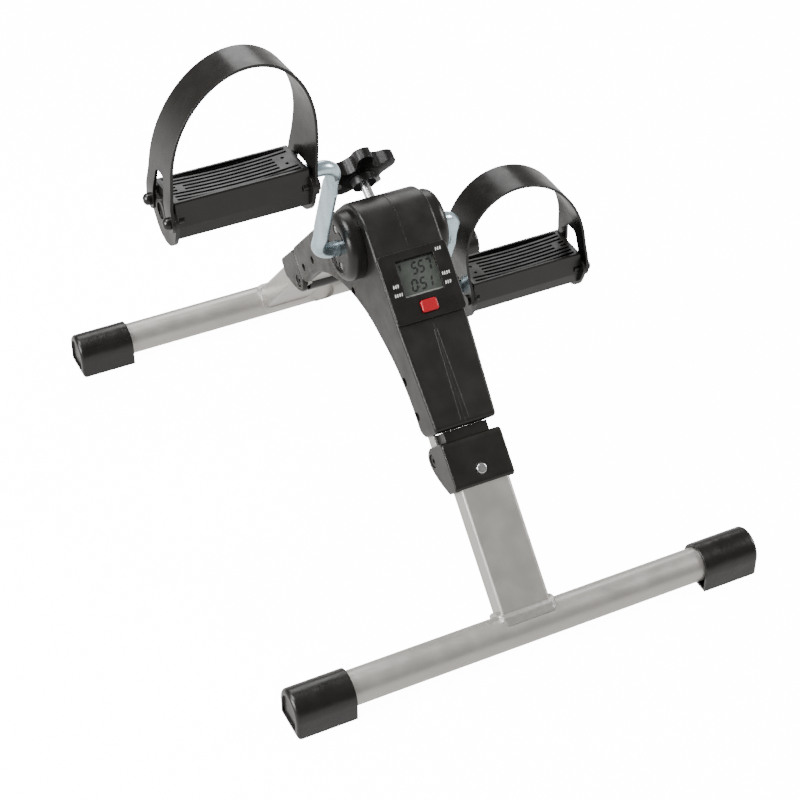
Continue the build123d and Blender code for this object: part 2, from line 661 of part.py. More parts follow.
def brake():
    low = DRUM_RADIUS + SHOE_GAP
    shoe = spoke(BRAKE_TILT, 0, low - 1.4, low + 8.0, Circle(SHOE_RADIUS))
    parts["brake_shoe"] = shoe - rod_x(AXLE_Y, AXLE_Z, low, -20, 20)
    tip = low + 8.05
    parts["tension_screw"] = spoke(BRAKE_TILT, 0, tip, KNOB_MIDDLE, Circle(TENSION_RADIUS))
    thick = KNOB_THICK / 2
    thin = KNOB_TIP_THICK / 2
    root = KNOB_RADIUS / 2
    edge = KNOB_RADIUS + 0.5
    lens = about_brake_axis([
        (0, KNOB_MIDDLE - thick), (root, KNOB_MIDDLE - thick), (edge, KNOB_MIDDLE - thin),
        (edge, KNOB_MIDDLE + thin), (root, KNOB_MIDDLE + thick), (0, KNOB_MIDDLE + thick)])
    star = spoke(BRAKE_TILT, 0, KNOB_LOW, KNOB_MIDDLE + 12.0, knob_star())
    neck = spoke(BRAKE_TILT, 0, KNOB_LOW, KNOB_MIDDLE, Circle(10.0))
    hole = spoke(BRAKE_TILT, 0, KNOB_LOW - 1, KNOB_MIDDLE + 0.05, Circle(TENSION_RADIUS + 0.02))
    parts["tension_knob"] = (star & lens) + neck - hole


# ------------------------------------------------------------------ console
def console():
    middle = (CONSOLE_TOP_S + CONSOLE_LOW_S) / 2
    length = CONSOLE_LOW_S - CONSOLE_TOP_S
    plate = along_normal("front", middle, 0, ARM_TOP + 0.02, CONSOLE_FACE,
                         RectangleRounded(2 * HUB_HALF, length, 4.0))
    plate = fillet(plate.faces().sort_by(Axis.Z)[-1].edges(), 0.8)
    skirt = RectangleRounded(44.4, 52.4, 1.0) - Rectangle(41.4, 49.4)
    plate = plate + along_normal("front", middle, 0, 30.5, ARM_TOP + 0.1, skirt)
    window_middle = sum(WINDOW_S) / 2
    window_length = WINDOW_S[1] - WINDOW_S[0]
    hole = Rectangle(2 * WINDOW_HALF, window_length)
    plate = plate - along_normal("front", window_middle, 0, 30, 40, hole)
    seat = Rectangle(2 * WINDOW_HALF + 1.9, window_length + 3)
    plate = plate - along_normal("front", window_middle, 0, 30, ARM_TOP + 1.4, seat)
    plate = plate - along_normal("front", BUTTON_S, 0, 30, 40,
                                 RectangleRounded(BUTTON_SIZE[0] + 0.8, BUTTON_SIZE[1] + 0.8, 2.4))
    posts = [(x, s) for x in (-19.0, 19.0) for s in (CONSOLE_TOP_S + 8, CONSOLE_LOW_S - 8)]
    for x, s in posts:
        plate = plate + along_normal("front", s, x, BOARD_N + BOARD_THICK + 0.02, ARM_TOP + 0.5,
                                     Circle(1.6))
        plate = plate - along_normal("front", s, x, BOARD_N, ARM_TOP, Circle(0.8))
    parts["console_bezel"] = plate
    lens = Rectangle(2 * WINDOW_HALF + 1.7, window_length + 2.8)
    parts["display_window"] = along_normal("front", window_middle, 0, ARM_TOP + 0.15,
                                           ARM_TOP + 1.35, lens)
    panel = Rectangle(2 * WINDOW_HALF + 1.5, window_length + 1.5)
    parts["lcd_panel"] = along_normal("front", window_middle, 0, ARM_TOP - 2.4, ARM_TOP + 0.1,
                                      panel)
    frame = Rectangle(34.0, 30.0) - Rectangle(28.0, 24.0)
    parts["lcd_holder"] = along_normal("front", window_middle, 0, BOARD_N + BOARD_THICK + 0.05,
                                       ARM_TOP - 2.45, frame)
    board = Rectangle(41.0, 46.0)
    pcb = along_normal("front", middle, 0, BOARD_N, BOARD_N + BOARD_THICK, board)
    screws = []
    for x, s in posts:
        pcb = pcb - along_normal("front", s, x, BOARD_N - 1, BOARD_N + 3, Circle(1.1))
        head = along_normal("front", s, x, BOARD_N - 1.2, BOARD_N - 0.05, Circle(1.5))
        screws.append(head + along_normal("front", s, x, BOARD_N - 1.2, ARM_TOP - 1.0, Circle(0.78)))
    parts["circuit_board"] = pcb
    parts["board_screws"] = Compound(children=screws)
    cap = along_normal("front", BUTTON_S, 0, ARM_TOP - 3.0, CONSOLE_FACE + 2.0,
                       RectangleRounded(BUTTON_SIZE[0], BUTTON_SIZE[1], 2.2))
    cap = fillet(cap.faces().sort_by(Axis.Z)[-1].edges(), 1.2)
    flange = along_normal("front", BUTTON_S, 0, ARM_TOP - 3.0, ARM_TOP - 0.6,
                          RectangleRounded(BUTTON_SIZE[0] + 3, BUTTON_SIZE[1] + 1.8, 2.2))
    parts["mode_button"] = cap + flange
    parts["button_spring"] = along_normal("front", BUTTON_S, 0, BOARD_N + BOARD_THICK + 0.03,
                                          ARM_TOP - 3.05, Circle(3.5) - Circle(2.3))
    parts["battery"] = along_normal("front", BUTTON_S - 8, 0, BOARD_N - 5.6, BOARD_N - 0.2,
                                    Circle(5.8))
    sensor_top = 23.0
    parts["reed_sensor"] = spoke(SENSOR_TILT, SENSOR_X, DRUM_RADIUS + 0.6, sensor_top, Circle(2.4))
    s = C45 * (ARM_Y - AXLE_Y + ARM_Z - AXLE_Z)
    n = C45 * (ARM_Y - AXLE_Y - ARM_Z + AXLE_Z) + sensor_top
    points = [(SENSOR_X, *arm_yz("front", *at)) for at in ((s, n), (s, 27.8), (22.9, 27.8))]
    path = FilletPolyline(*points, radius=3.0)
    start = Plane(origin=path @ 0, z_dir=path % 0)
    parts["sensor_lead"] = sweep(start * Circle(0.75), path=path)


# ------------------------------------------------------------------- pedals
def pedal_frame(hand):
    """Plane across a pedal at its spindle: local x is +Y of the tilted pedal, y is up."""
    y, z = spindle_yz(hand)
    t = radians(PEDAL_TILT[hand])
    return Plane(origin=(0, y, z), x_dir=(0, cos(t), -sin(t)), z_dir=(1, 0, 0))


def pedal_prism(hand, sketch, x_near, x_far):
    """A sketch in the pedal's own frame carried between two distances from the middle."""
    k = HAND[hand]
    low, high = sorted((k * x_near, k * x_far))
    return extrude(pedal_frame(hand).offset(low) * sketch, amount=high - low, dir=ALONG_X)


def pedal_section():
    foot = PEDAL_HALF - 3.0
    points = [(-PEDAL_HALF, PEDAL_TOP), (PEDAL_HALF, PEDAL_TOP), (PEDAL_HALF, PEDAL_EDGE),
              (foot, PEDAL_BOTTOM), (-foot, PEDAL_BOTTOM), (-PEDAL_HALF, PEDAL_EDGE)]
    return fillet(face_of(points).vertices(), 1.2)


def plate_section():
    """End plate outline: broad at the rivets, a half disc below."""
    section = make_hull(
        (Pos(-RIVET_OFFSET, 0.5) * Circle(7.5)).edges()
        + (Pos(RIVET_OFFSET, 0.5) * Circle(7.5)).edges()
        + (Pos(-2, -3) * Circle(23.0)).edges())
    return section & Pos(0, STRAP_WALL - 0.5 - 20) * Rectangle(90, 40)


def strap_side(hand):
    """Strap seen along X: a band that widens into two legs, one to each rivet."""
    lean = tan(radians(STRAP_LEAN[hand]))
    top = STRAP_HEIGHT + 8.0
    levels = [top * i / 8 for i in range(9)]

    def edge(k):
        points = []
        for h in levels:
            spread = max(0.0, 1.0 - h / STRAP_HEIGHT) ** 2.5
            width = STRAP_TOP_WIDTH + (STRAP_FOOT_WIDTH - STRAP_TOP_WIDTH) * spread
            points.append((k * width / 2 - lean * h, h))
        return points

    near = edge(-1)
    far = edge(1)
    band = make_face(Spline(*near) + Line(near[-1], far[-1]) + Spline(*far)
                     + Line(near[0], far[0]))
    end_radius = STRAP_FOOT_WIDTH / 2 - RIVET_OFFSET
    for k in (-1, 1):
        band = band + Pos(k * RIVET_OFFSET, 0) * Circle(end_radius)
    return band


def strap_gap(hand, end):
    """Opening between the two legs at one end of a strap."""
    lean = tan(radians(STRAP_LEAN[hand]))
    height = STRAP_GAP[end]
    foot = 2 * RIVET_OFFSET - STRAP_FOOT_WIDTH / 2
    crown = 7.6 if end == "outer" else 10.5
    shift = lean * height
    opening = face_of([(-foot, -12), (foot, -12), (foot, 0), (crown - shift, height),
                       (-crown - shift, height), (-foot, 0)])
    corners = [nearest(opening.vertices(), (k * crown - shift, height)) for k in (-1, 1)]
    opening = fillet(corners, 5.5)
    middle = (PEDAL_IN + PEDAL_OUT) / 2
    if end == "outer":
        return pedal_prism(hand, opening, middle, PEDAL_OUT + 20)
    return pedal_prism(hand, opening, PEDAL_IN - 20, middle)


def strap_arch(hand, half, rise):
    """Closed outline under the strap in the X and up plane, leaning towards the crank."""
    k = HAND[hand]
    span = STRAP_HEIGHT - STRAP_WALL

    def lean(h):
        return k * STRAP_SHIFT * ((h - STRAP_WALL) / span) ** 1.05

    low = [(half, STRAP_WALL), (-half, STRAP_WALL)]
    waist = (STRAP_WALL + STRAP_SPRING) / 2
    points = [(half - lean(waist), waist)]
    for i in range(13):
        a = radians(15 * i)
        h = STRAP_SPRING + rise * sin(a)
        points.append((half * cos(a) - lean(h), h))
    points.append((-half - lean(waist), waist))
    curve = Spline(low[0], *points, low[1], tangents=((0, 1), (0, -1)))
    return make_face(curve + Polyline(low[1], (-half, -20), (half, -20), low[0]))


def toe_strap(hand):
    frame = pedal_frame(hand)
    middle = HAND[hand] * (PEDAL_IN + PEDAL_OUT) / 2
    half = (PEDAL_OUT - PEDAL_IN) / 2 + PLATE + 0.02
    plane = Plane(origin=frame.origin + Vector(middle, 0, 0), x_dir=ALONG_X,
                  z_dir=-frame.x_dir)
    rise = STRAP_HEIGHT - STRAP_SPRING
    ring = strap_arch(hand, half + STRAP_THICK, rise)
    ring = ring - strap_arch(hand, half, rise - STRAP_THICK)
    shell = extrude(plane * ring, amount=45, both=True)
    side = strap_side(hand)
    for k in (-1, 1):
        side = side - Pos(k * RIVET_OFFSET, 0) * Circle(2.5)
    strap = shell & pedal_prism(hand, side, PEDAL_IN - 20, PEDAL_OUT + 20)
    return strap - strap_gap(hand, "outer") - strap_gap(hand, "inner")


def pedal_body(hand):
    outer = pedal_section()
    body = pedal_prism(hand, outer, PEDAL_IN, PEDAL_OUT)
    inner = offset(outer, amount=-3.4)
    inner = inner - Pos(0, PEDAL_TOP - 4.4) * Rectangle(50, 5.2)
    core = pedal_prism(hand, inner, PEDAL_IN + 3, PEDAL_OUT - 10)
    tube = pedal_prism(hand, Circle(11.0), PEDAL_IN, PEDAL_OUT)
    web = pedal_prism(hand, Rectangle(3.0, 26.0), PEDAL_IN, PEDAL_OUT - 6) & body
    body = body - core + tube + web
    frame = pedal_frame(hand)
    middle = HAND[hand] * (PEDAL_IN + PEDAL_OUT) / 2
    saddle_radius = 560.0
    sag = 2.2
    saddle_plane = Plane(origin=frame.origin + Vector(middle, 0, 0), x_dir=ALONG_X,
                         z_dir=-frame.x_dir)
    saddle = saddle_plane * (Pos(0, PEDAL_TOP - sag + saddle_radius) * Circle(saddle_radius))
    body = body - extrude(saddle, amount=PEDAL_HALF - 3.0, both=True)
    span = (GROOVES - 1) * GROOVE_PITCH
    for i in range(GROOVES):
        groove = Pos(-span / 2 + i * GROOVE_PITCH, PEDAL_TOP - 1.6) * Rectangle(GROOVE_WIDTH, 5.0)
        central = 2 <= i <= GROOVES - 3
        start = PEDAL_IN + (17 if central else 4)
        stop = PEDAL_OUT - (15 if i in (3, 4) else 4)
        body = body - pedal_prism(hand, groove, start, stop)
        if i in (3, 4):
            body = body - pedal_prism(hand, groove, PEDAL_OUT - 9, PEDAL_OUT - 4)
    for y in (-4.6, 4.6):
        x = HAND[hand] * (PEDAL_IN + 10)
        hole = Plane(origin=frame.origin + Vector(x, 0, 0), x_dir=ALONG_X, z_dir=frame.y_dir)
        body = body - extrude(hole.offset(PEDAL_TOP - 3.0) * (Pos(0, -y) * Circle(1.3)), amount=4)
    body = body - pedal_prism(hand, Circle(8.0), PEDAL_IN - 1, PEDAL_OUT + 1)
    body = body - pedal_prism(hand, Circle(9.4), SPINDLE_END - 4.6, PEDAL_OUT + 1)
    for y in (-RIVET_OFFSET, RIVET_OFFSET):
        pin = Pos(y, 0) * Circle(2.5)
        body = body - pedal_prism(hand, pin, PEDAL_OUT - 6, PEDAL_OUT + 1)
        body = body - pedal_prism(hand, pin, PEDAL_IN - 1, PEDAL_IN + 6)
    return body


def strap_rivets(hand):
    rivets = []
    out_face = PEDAL_OUT + PLATE + STRAP_THICK + 0.04
    in_face = PEDAL_IN - PLATE - STRAP_THICK - 0.04
    for y in (-RIVET_OFFSET, RIVET_OFFSET):
        place = Pos(y, 0)
        head = pedal_prism(hand, place * Circle(RIVET_RADIUS), out_face, out_face + RIVET_PROUD)
        head = fillet(edges_at_x(head, HAND[hand] * (out_face + RIVET_PROUD)), 3.6)
        rivets.append(head + pedal_prism(hand, place * Circle(2.48), PEDAL_OUT - 5.5, out_face))
        shank = pedal_prism(hand, place * Circle(2.48), in_face, PEDAL_IN + 5.5)
        rivets.append(shank + pedal_prism(hand, place * Circle(RIVET_RADIUS), in_face - 2.0, in_face))
    return Compound(children=rivets)


def pedal(hand):
    parts[hand + "_pedal_body"] = pedal_body(hand)
    bush = Circle(8.0 - 0.02) - Circle(ROD_RADIUS + RUN)
    parts[hand + "_pedal_bush"] = pedal_prism(hand, bush, PEDAL_IN, SPINDLE_END - 4.8)
    plate = plate_section()
    pins = Pos(-RIVET_OFFSET, 0) * Circle(2.5) + Pos(RIVET_OFFSET, 0) * Circle(2.5)
    inner_plate = pedal_prism(hand, plate - pins - Circle(8.2), PEDAL_IN - PLATE, PEDAL_IN - 0.02)
    outer_plate = pedal_prism(hand, plate - pins, PEDAL_OUT + 0.02, PEDAL_OUT + PLATE)
    dish = Circle(9.0) - Circle(6.4)
    outer_plate = outer_plate + pedal_prism(hand, dish, PEDAL_OUT + 1.0, PEDAL_OUT + PLATE + 1.6)
    parts[hand + "_pedal_inner_plate"] = inner_plate
    parts[hand + "_pedal_outer_plate"] = outer_plate
    parts[hand + "_toe_strap"] = toe_strap(hand)
    parts[hand + "_strap_rivets"] = strap_rivets(hand)


# --------------------------------------------------------------------- make
housing()
inner_frame()
bearings()
for hand_name in HAND:
    pedal(hand_name)
for side_name in SIDE:
    leg(side_name)
    collar(side_name)
    hinge_bolt(side_name)
    lock_button(side_name)
crank()
brake()
console()

os.makedirs("parts", exist_ok=True)
for name, solid in parts.items():
    export_step(solid, "parts/" + name + ".step")
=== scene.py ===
import json
from math import cos, radians, sin, sqrt

import bmesh
import bpy
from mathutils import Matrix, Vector


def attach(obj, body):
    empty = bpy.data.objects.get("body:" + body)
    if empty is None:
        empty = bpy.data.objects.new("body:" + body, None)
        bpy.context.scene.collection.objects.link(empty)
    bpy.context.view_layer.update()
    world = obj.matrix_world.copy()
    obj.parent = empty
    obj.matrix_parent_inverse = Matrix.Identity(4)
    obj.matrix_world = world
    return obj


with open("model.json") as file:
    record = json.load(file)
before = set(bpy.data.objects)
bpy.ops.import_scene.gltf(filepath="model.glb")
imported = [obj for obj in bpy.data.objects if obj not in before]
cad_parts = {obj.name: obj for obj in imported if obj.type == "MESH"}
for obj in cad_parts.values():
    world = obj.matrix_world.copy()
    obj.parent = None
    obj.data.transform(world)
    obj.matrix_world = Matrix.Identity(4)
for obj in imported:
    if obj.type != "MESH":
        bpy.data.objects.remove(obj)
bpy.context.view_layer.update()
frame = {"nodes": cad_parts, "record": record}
nodes = frame["nodes"]

# The housing's two arms slope down at 45 degrees from one line across the object.
C45 = sqrt(0.5)
ARM_Y = 0.006
ARM_Z = 0.230

# Sizes on the arms, in mm: the top face, and the low and high of thin marks on it.
ARM_TOP = 34.0
ON_GLASS = (34.11, 34.13)
INK_ON_GLASS = (34.11, 34.135)
ON_BEZEL = (37.40, 37.46)


def arm(side, x, s, n):
    """Point on an arm: x across, s mm down along it and n mm out of its middle line."""
    k = -1 if side == "front" else 1
    return Vector((x / 1000, ARM_Y + k * C45 * (s + n) / 1000, ARM_Z + C45 * (n - s) / 1000))


# ------------------------------------------------------------------ camera
CAMERA_PLACE = (-0.57928, -1.20269, 1.16275)
CAMERA_LENS = 92.24
CAMERA_DOWN = 39.406
CAMERA_ROLL = 0.07
CAMERA_TURN = -26.04

cam_data = bpy.data.cameras.new("camera")
cam_data.lens = CAMERA_LENS
cam_data.sensor_width = 36.0
cam_data.clip_start = 0.05
cam = bpy.data.objects.new("camera", cam_data)
cam.location = CAMERA_PLACE
cam.rotation_euler = (radians(90 - CAMERA_DOWN), radians(CAMERA_ROLL), radians(CAMERA_TURN))
bpy.context.scene.collection.objects.link(cam)
bpy.context.scene.camera = cam


# ------------------------------------------------------------------- light
def area_light(name, place, size, power, target=(0, 0, 0.18)):
    """Round soft light, turned to the middle of the object."""
    data = bpy.data.lights.new(name, "AREA")
    data.shape = "DISK"
    data.size = size
    data.energy = power
    obj = bpy.data.objects.new(name, data)
    obj.location = place
    obj.rotation_euler = (Vector(target) - Vector(place)).to_track_quat("-Z", "Y").to_euler()
    bpy.context.scene.collection.objects.link(obj)


area_light("left_box", (-1.9, -0.2, 1.1), 1.3, 78)
area_light("right_box", (1.9, -0.6, 1.3), 0.9, 30)
area_light("top_box", (-0.6, 0.5, 2.2), 1.2, 42)
area_light("back_box", (0.7, 1.9, 1.5), 1.3, 13)

# The world is bright below the horizon: it stands in for light thrown back by the paper.
world = bpy.data.worlds.new("studio")
bpy.context.scene.world = world
world.use_nodes = True
sky = world.node_tree
around = sky.nodes.new("ShaderNodeTexCoord")
split = sky.nodes.new("ShaderNodeSeparateXYZ")
fall = sky.nodes.new("ShaderNodeMapRange")
fall.inputs["From Min"].default_value = -0.20
fall.inputs["From Max"].default_value = 0.12
fall.inputs["To Min"].default_value = 1.15
fall.inputs["To Max"].default_value = 0.30
sky.links.new(around.outputs["Generated"], split.inputs["Vector"])
sky.links.new(split.outputs["Z"], fall.inputs["Value"])
sky.links.new(fall.outputs["Result"], sky.nodes["Background"].inputs["Strength"])
sky.nodes["Background"].inputs["Color"].default_value = (1.0, 0.985, 0.965, 1)

# The paper glows so that it looks white, and lights nothing itself.
PAPER_GLOW = 14.0
bpy.ops.mesh.primitive_plane_add(size=12.0)
floor = bpy.context.object
floor.name = "floor"
floor.visible_diffuse = False
floor.visible_glossy = False
paper = bpy.data.materials.new("paper")
paper.use_nodes = True
paper_shader = paper.node_tree.nodes["Principled BSDF"]
paper_shader.inputs["Base Color"].default_value = (0.9, 0.9, 0.9, 1)
paper_shader.inputs["Emission Color"].default_value = (1, 1, 1, 1)
paper_shader.inputs["Emission Strength"].default_value = PAPER_GLOW
floor.data.materials.append(paper)


# --------------------------------------------------------------- materials
class Tree:
    """Small helper round one material's nodes."""

    def __init__(self, name):
        self.material = bpy.data.materials.new(name)
        self.material.use_nodes = True
        self.tree = self.material.node_tree
        self.shader = self.tree.nodes["Principled BSDF"]
        self.place = self.tree.nodes.new("ShaderNodeTexCoord").outputs["Object"]

    def add(self, kind, **values):
        node = self.tree.nodes.new(kind)
        for key, value in values.items():
            setattr(node, key, value)
        return node

    def link(self, out, into):
        self.tree.links.new(out, into)

    def noise(self, scale, detail=3.0, stretch=None):
        node = self.add("ShaderNodeTexNoise")
        node.inputs["Scale"].default_value = scale
        node.inputs["Detail"].default_value = detail
        place = self.place
        if stretch:
            mapping = self.add("ShaderNodeMapping")
            mapping.inputs["Scale"].default_value = stretch
            self.link(place, mapping.inputs["Vector"])
            place = mapping.outputs["Vector"]
        self.link(place, node.inputs["Vector"])
        return node.outputs["Fac"]

    def spread(self, fac, low, high, start=0.3, end=0.7):
        node = self.add("ShaderNodeMapRange")
        node.inputs["From Min"].default_value = start
        node.inputs["From Max"].default_value = end
        node.inputs["To Min"].default_value = low
        node.inputs["To Max"].default_value = high
        self.link(fac, node.inputs["Value"])
        return node.outputs["Result"]

    def mix(self, fac, a, b):
        """Colour between a and b. Sockets 6, 7 and output 2 are the mix node's colour ones."""
        node = self.add("ShaderNodeMix", data_type="RGBA")
        self.link(fac, node.inputs["Factor"])
        for socket, value in ((node.inputs[6], a), (node.inputs[7], b)):
            if isinstance(value, tuple):
                socket.default_value = (*value, 1)
            else:
                self.link(value, socket)
        return node.outputs[2]


def shade(colour, k):
    """The colour made k times as bright."""
    return tuple(min(1.0, c * k) for c in colour)


def finish_of(name, colour, rough, metal=0.0, spread=0.18, patch=22.0, grain=900.0, depth=0.05,
              edge=0.0005, edge_wear_and_highlight=1.5, coat=0.0, stretch=None, lumps=None, specular=0.5):
    """A plastic or a metal: patchy colour, uneven gloss, fine grain, edges lighter as wear and
    painted highlight.
    """
    t = Tree(name)
    shader = t.shader
    shader.inputs["Metallic"].default_value = metal
    shader.inputs["Specular IOR Level"].default_value = specular
    shader.inputs["Coat Weight"].default_value = coat
    shader.inputs["Coat Roughness"].default_value = 0.25
    patches = t.noise(patch, 4.0, stretch)
    base = t.mix(t.spread(patches, 0.0, 1.0), shade(colour, 1 - spread), shade(colour, 1 + spread))
    speckle = t.noise(grain * 0.35, 2.0)
    base = t.mix(t.spread(speckle, 0.0, 0.35), base, shade(colour, 1 + 2 * spread))
    bevel = t.add("ShaderNodeBevel", samples=4)
    bevel.inputs["Radius"].default_value = edge
    geometry = t.add("ShaderNodeNewGeometry")
    dot = t.add("ShaderNodeVectorMath", operation="DOT_PRODUCT")
    t.link(bevel.outputs["Normal"], dot.inputs[0])
    t.link(geometry.outputs["Normal"], dot.inputs[1])
    # Edges found from the bevel normal are painted lighter, partly as wear and partly as a painted
    # highlight.
    worn_and_lit_edges = t.spread(dot.outputs["Value"], 0.55, 0.0, 0.80, 0.995)
    base = t.mix(worn_and_lit_edges, base, shade(colour, edge_wear_and_highlight))
    t.link(base, shader.inputs["Base Color"])
    gloss = t.noise(patch * 3.0, 3.0)
    t.link(t.spread(gloss, max(0.05, rough - 0.06), rough + 0.07), shader.inputs["Roughness"])
    bump = t.add("ShaderNodeBump")
    bump.inputs["Strength"].default_value = depth
    bump.inputs["Distance"].default_value = 0.0004
    t.link(t.noise(grain, 2.0), bump.inputs["Height"])
    t.link(bevel.outputs["Normal"], bump.inputs["Normal"])
    last = bump.outputs["Normal"]
    if lumps:
        rough_bump = t.add("ShaderNodeBump")
        rough_bump.inputs["Strength"].default_value = 0.5
        rough_bump.inputs["Distance"].default_value = 0.0012
        t.link(t.noise(lumps, 2.0), rough_bump.inputs["Height"])
        t.link(last, rough_bump.inputs["Normal"])
        last = rough_bump.outputs["Normal"]
    t.link(last, shader.inputs["Normal"])
    return t.material


def clear_window():
    """Nearly clear cover over the display."""
    t = Tree("window")
    t.shader.inputs["Base Color"].default_value = (0.02, 0.024, 0.02, 1)
    t.shader.inputs["IOR"].default_value = 1.45
    dust = t.noise(160.0, 3.0)
    t.link(t.spread(dust, 0.05, 0.10), t.shader.inputs["Alpha"])
    t.link(t.spread(t.noise(40.0), 0.12, 0.24), t.shader.inputs["Roughness"])
    return t.material


def display_glass():
    """Grey-green ground of the display."""
    t = Tree("lcd_glass")
    fade = t.spread(t.noise(35.0, 2.0), 0.0, 1.0)
    t.link(t.mix(fade, (0.070, 0.080, 0.070), (0.095, 0.106, 0.092)), t.shader.inputs["Base Color"])
    t.link(t.spread(t.noise(300.0), 0.35, 0.5), t.shader.inputs["Roughness"])
    return t.material


STYLE = {
    "housing_plastic": finish_of("housing_plastic", (0.0085, 0.0074, 0.0062), 0.36, depth=0.10,
                                 edge=0.0009, edge_wear_and_highlight=2.6, grain=1500.0),
    "cover_plastic": finish_of("cover_plastic", (0.0078, 0.0068, 0.0057), 0.32, depth=0.07,
                               edge=0.0009, edge_wear_and_highlight=2.4, grain=1400.0),
    "bezel_plastic": finish_of("bezel_plastic", (0.0062, 0.0053, 0.0043), 0.30, depth=0.05,
                               edge=0.0006, edge_wear_and_highlight=1.8, grain=1700.0),
    "foot_plastic": finish_of("foot_plastic", (0.0052, 0.0044, 0.0037), 0.28, depth=0.06,
                              edge=0.0010, edge_wear_and_highlight=2.6, lumps=70.0, coat=0.15),
    "pedal_plastic": finish_of("pedal_plastic", (0.0060, 0.0051, 0.0042), 0.34, depth=0.07,
                               edge=0.0005, edge_wear_and_highlight=3.0),
    "strap_plastic": finish_of("strap_plastic", (0.0060, 0.0052, 0.0044), 0.27, depth=0.05,
                               edge=0.0006, edge_wear_and_highlight=2.6, stretch=(1.0, 3.0, 1.0), patch=30.0),
    "rivet_plastic": finish_of("rivet_plastic", (0.0050, 0.0044, 0.0038), 0.22, edge=0.0004),
    "knob_plastic": finish_of("knob_plastic", (0.0045, 0.0041, 0.0038), 0.32, depth=0.08,
                              edge=0.0014, edge_wear_and_highlight=2.4),
    "silver_paint": finish_of("silver_paint", (0.50, 0.485, 0.455), 0.36, metal=0.72, spread=0.05,
                              grain=2600.0, depth=0.10, edge=0.0007, edge_wear_and_highlight=1.25, coat=0.12),
    "zinc_steel": finish_of("zinc_steel", (0.56, 0.70, 0.79), 0.24, metal=0.82, spread=0.22,
                            patch=70.0, grain=700.0, depth=0.04, edge_wear_and_highlight=1.1,
                            stretch=(0.6, 2.2, 0.35)),
    "bright_steel": finish_of("bright_steel", (0.62, 0.62, 0.62), 0.24, metal=1.0, spread=0.12,
                              patch=120.0, stretch=(1.0, 6.0, 1.0)),
    "spring_steel": finish_of("spring_steel", (0.42, 0.42, 0.43), 0.30, metal=1.0,
                              stretch=(6.0, 1.0, 1.0)),
    "black_steel": finish_of("black_steel", (0.013, 0.013, 0.013), 0.38, metal=0.3, edge_wear_and_highlight=3.0),
    "nylon": finish_of("nylon", (0.62, 0.60, 0.55), 0.45, spread=0.06, edge_wear_and_highlight=1.1),
    "board": finish_of("board", (0.010, 0.085, 0.035), 0.30, spread=0.25, patch=180.0),
    "red_plastic": finish_of("red_plastic", (0.36, 0.003, 0.010), 0.32, spread=0.10, depth=0.05,
                             edge=0.0006, edge_wear_and_highlight=1.1, coat=0.2),
    "lead_plastic": finish_of("lead_plastic", (0.05, 0.05, 0.05), 0.5),
    "window": clear_window(),
    "lcd_glass": display_glass(),
}
WELD = finish_of("weld_paint", (0.50, 0.485, 0.46), 0.34, metal=0.72, spread=0.10, lumps=260.0,
                 edge=0.0012, edge_wear_and_highlight=1.2, coat=0.1)

for part in frame["record"]["subparts"]:
    obj = nodes[part["node"]]
    look = WELD if part["node"].endswith("_weld") else STYLE[part["material_slot"]]
    obj.data.materials.clear()
    obj.data.materials.append(look)


# ------------------------------------------------------------ small pieces
def mesh_piece(name, vertices, faces, look, body):
    """Mesh object that rides on a body."""
    data = bpy.data.meshes.new(name)
    data.from_pydata(vertices, [], faces)
    data.materials.append(look)
    obj = bpy.data.objects.new(name, data)
    bpy.context.scene.collection.objects.link(obj)
    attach(obj, body)
    return obj


def on_arm(name, outlines, low, high, look, side="front", body="housing"):
    """Thin raised shapes on an arm: outlines are lists of (x, s), low and high are values of n."""
    vertices = []
    faces = []
    for outline in outlines:
        first = len(vertices)
        count = len(outline)
        for n in (low, high):
            vertices.extend(arm(side, x, s, n) for x, s in outline)
        faces.append([first + count + i for i in range(count)])
        faces.append([first + i for i in reversed(range(count))])
        for i in range(count):
            j = (i + 1) % count
            faces.append([first + i, first + j, first + count + j, first + count + i])
    obj = mesh_piece(name, vertices, faces, look, body)
    cleaner = bmesh.new()
    cleaner.from_mesh(obj.data)
    bmesh.ops.recalc_face_normals(cleaner, faces=cleaner.faces)
    cleaner.to_mesh(obj.data)
    cleaner.free()
    return obj


# Figures of the display, in mm, and the bars that each one lights.
FIGURE_WIDTH = 4.0
FIGURE_HEIGHT = 8.6
FIGURE_LINE = 1.55
FIGURE_SLANT = 0.16
UPPER_ROW = 29.6
LOWER_ROW = 42.6
SEGMENTS = {"0": "abcdef", "1": "bc", "5": "acdfg", "7": "abc"}


def digit(sign, x, s):
    """Bars of one seven-bar figure, leaning to the right; x, s is its top left corner."""
    width = FIGURE_WIDTH
    height = FIGURE_HEIGHT
    line = FIGURE_LINE
    half = height / 2

    def bar(x0, s0, x1, s1):
        if abs(s1 - s0) < 1e-6:
            pts = [(x0 + line * 0.6, s0 - line / 2), (x1 - line * 0.6, s0 - line / 2),
                   (x1 - line * 0.1, s0), (x1 - line * 0.6, s0 + line / 2),
                   (x0 + line * 0.6, s0 + line / 2), (x0 + line * 0.1, s0)]
        else:
            pts = [(x0 - line / 2, s0 + line * 0.6), (x0, s0 + line * 0.1),
                   (x0 + line / 2, s0 + line * 0.6), (x0 + line / 2, s1 - line * 0.6),
                   (x0, s1 - line * 0.1), (x0 - line / 2, s1 - line * 0.6)]
        return [(px + FIGURE_SLANT * (s + height - ps), ps) for px, ps in pts]

    bars = {
        "a": (x, s, x + width, s), "g": (x, s + half, x + width, s + half),
        "d": (x, s + height, x + width, s + height), "f": (x, s, x, s + half),
        "b": (x + width, s, x + width, s + half), "e": (x, s + half, x, s + height),
        "c": (x + width, s + half, x + width, s + height)}
    return [bar(*bars[key]) for key in SEGMENTS[sign]]


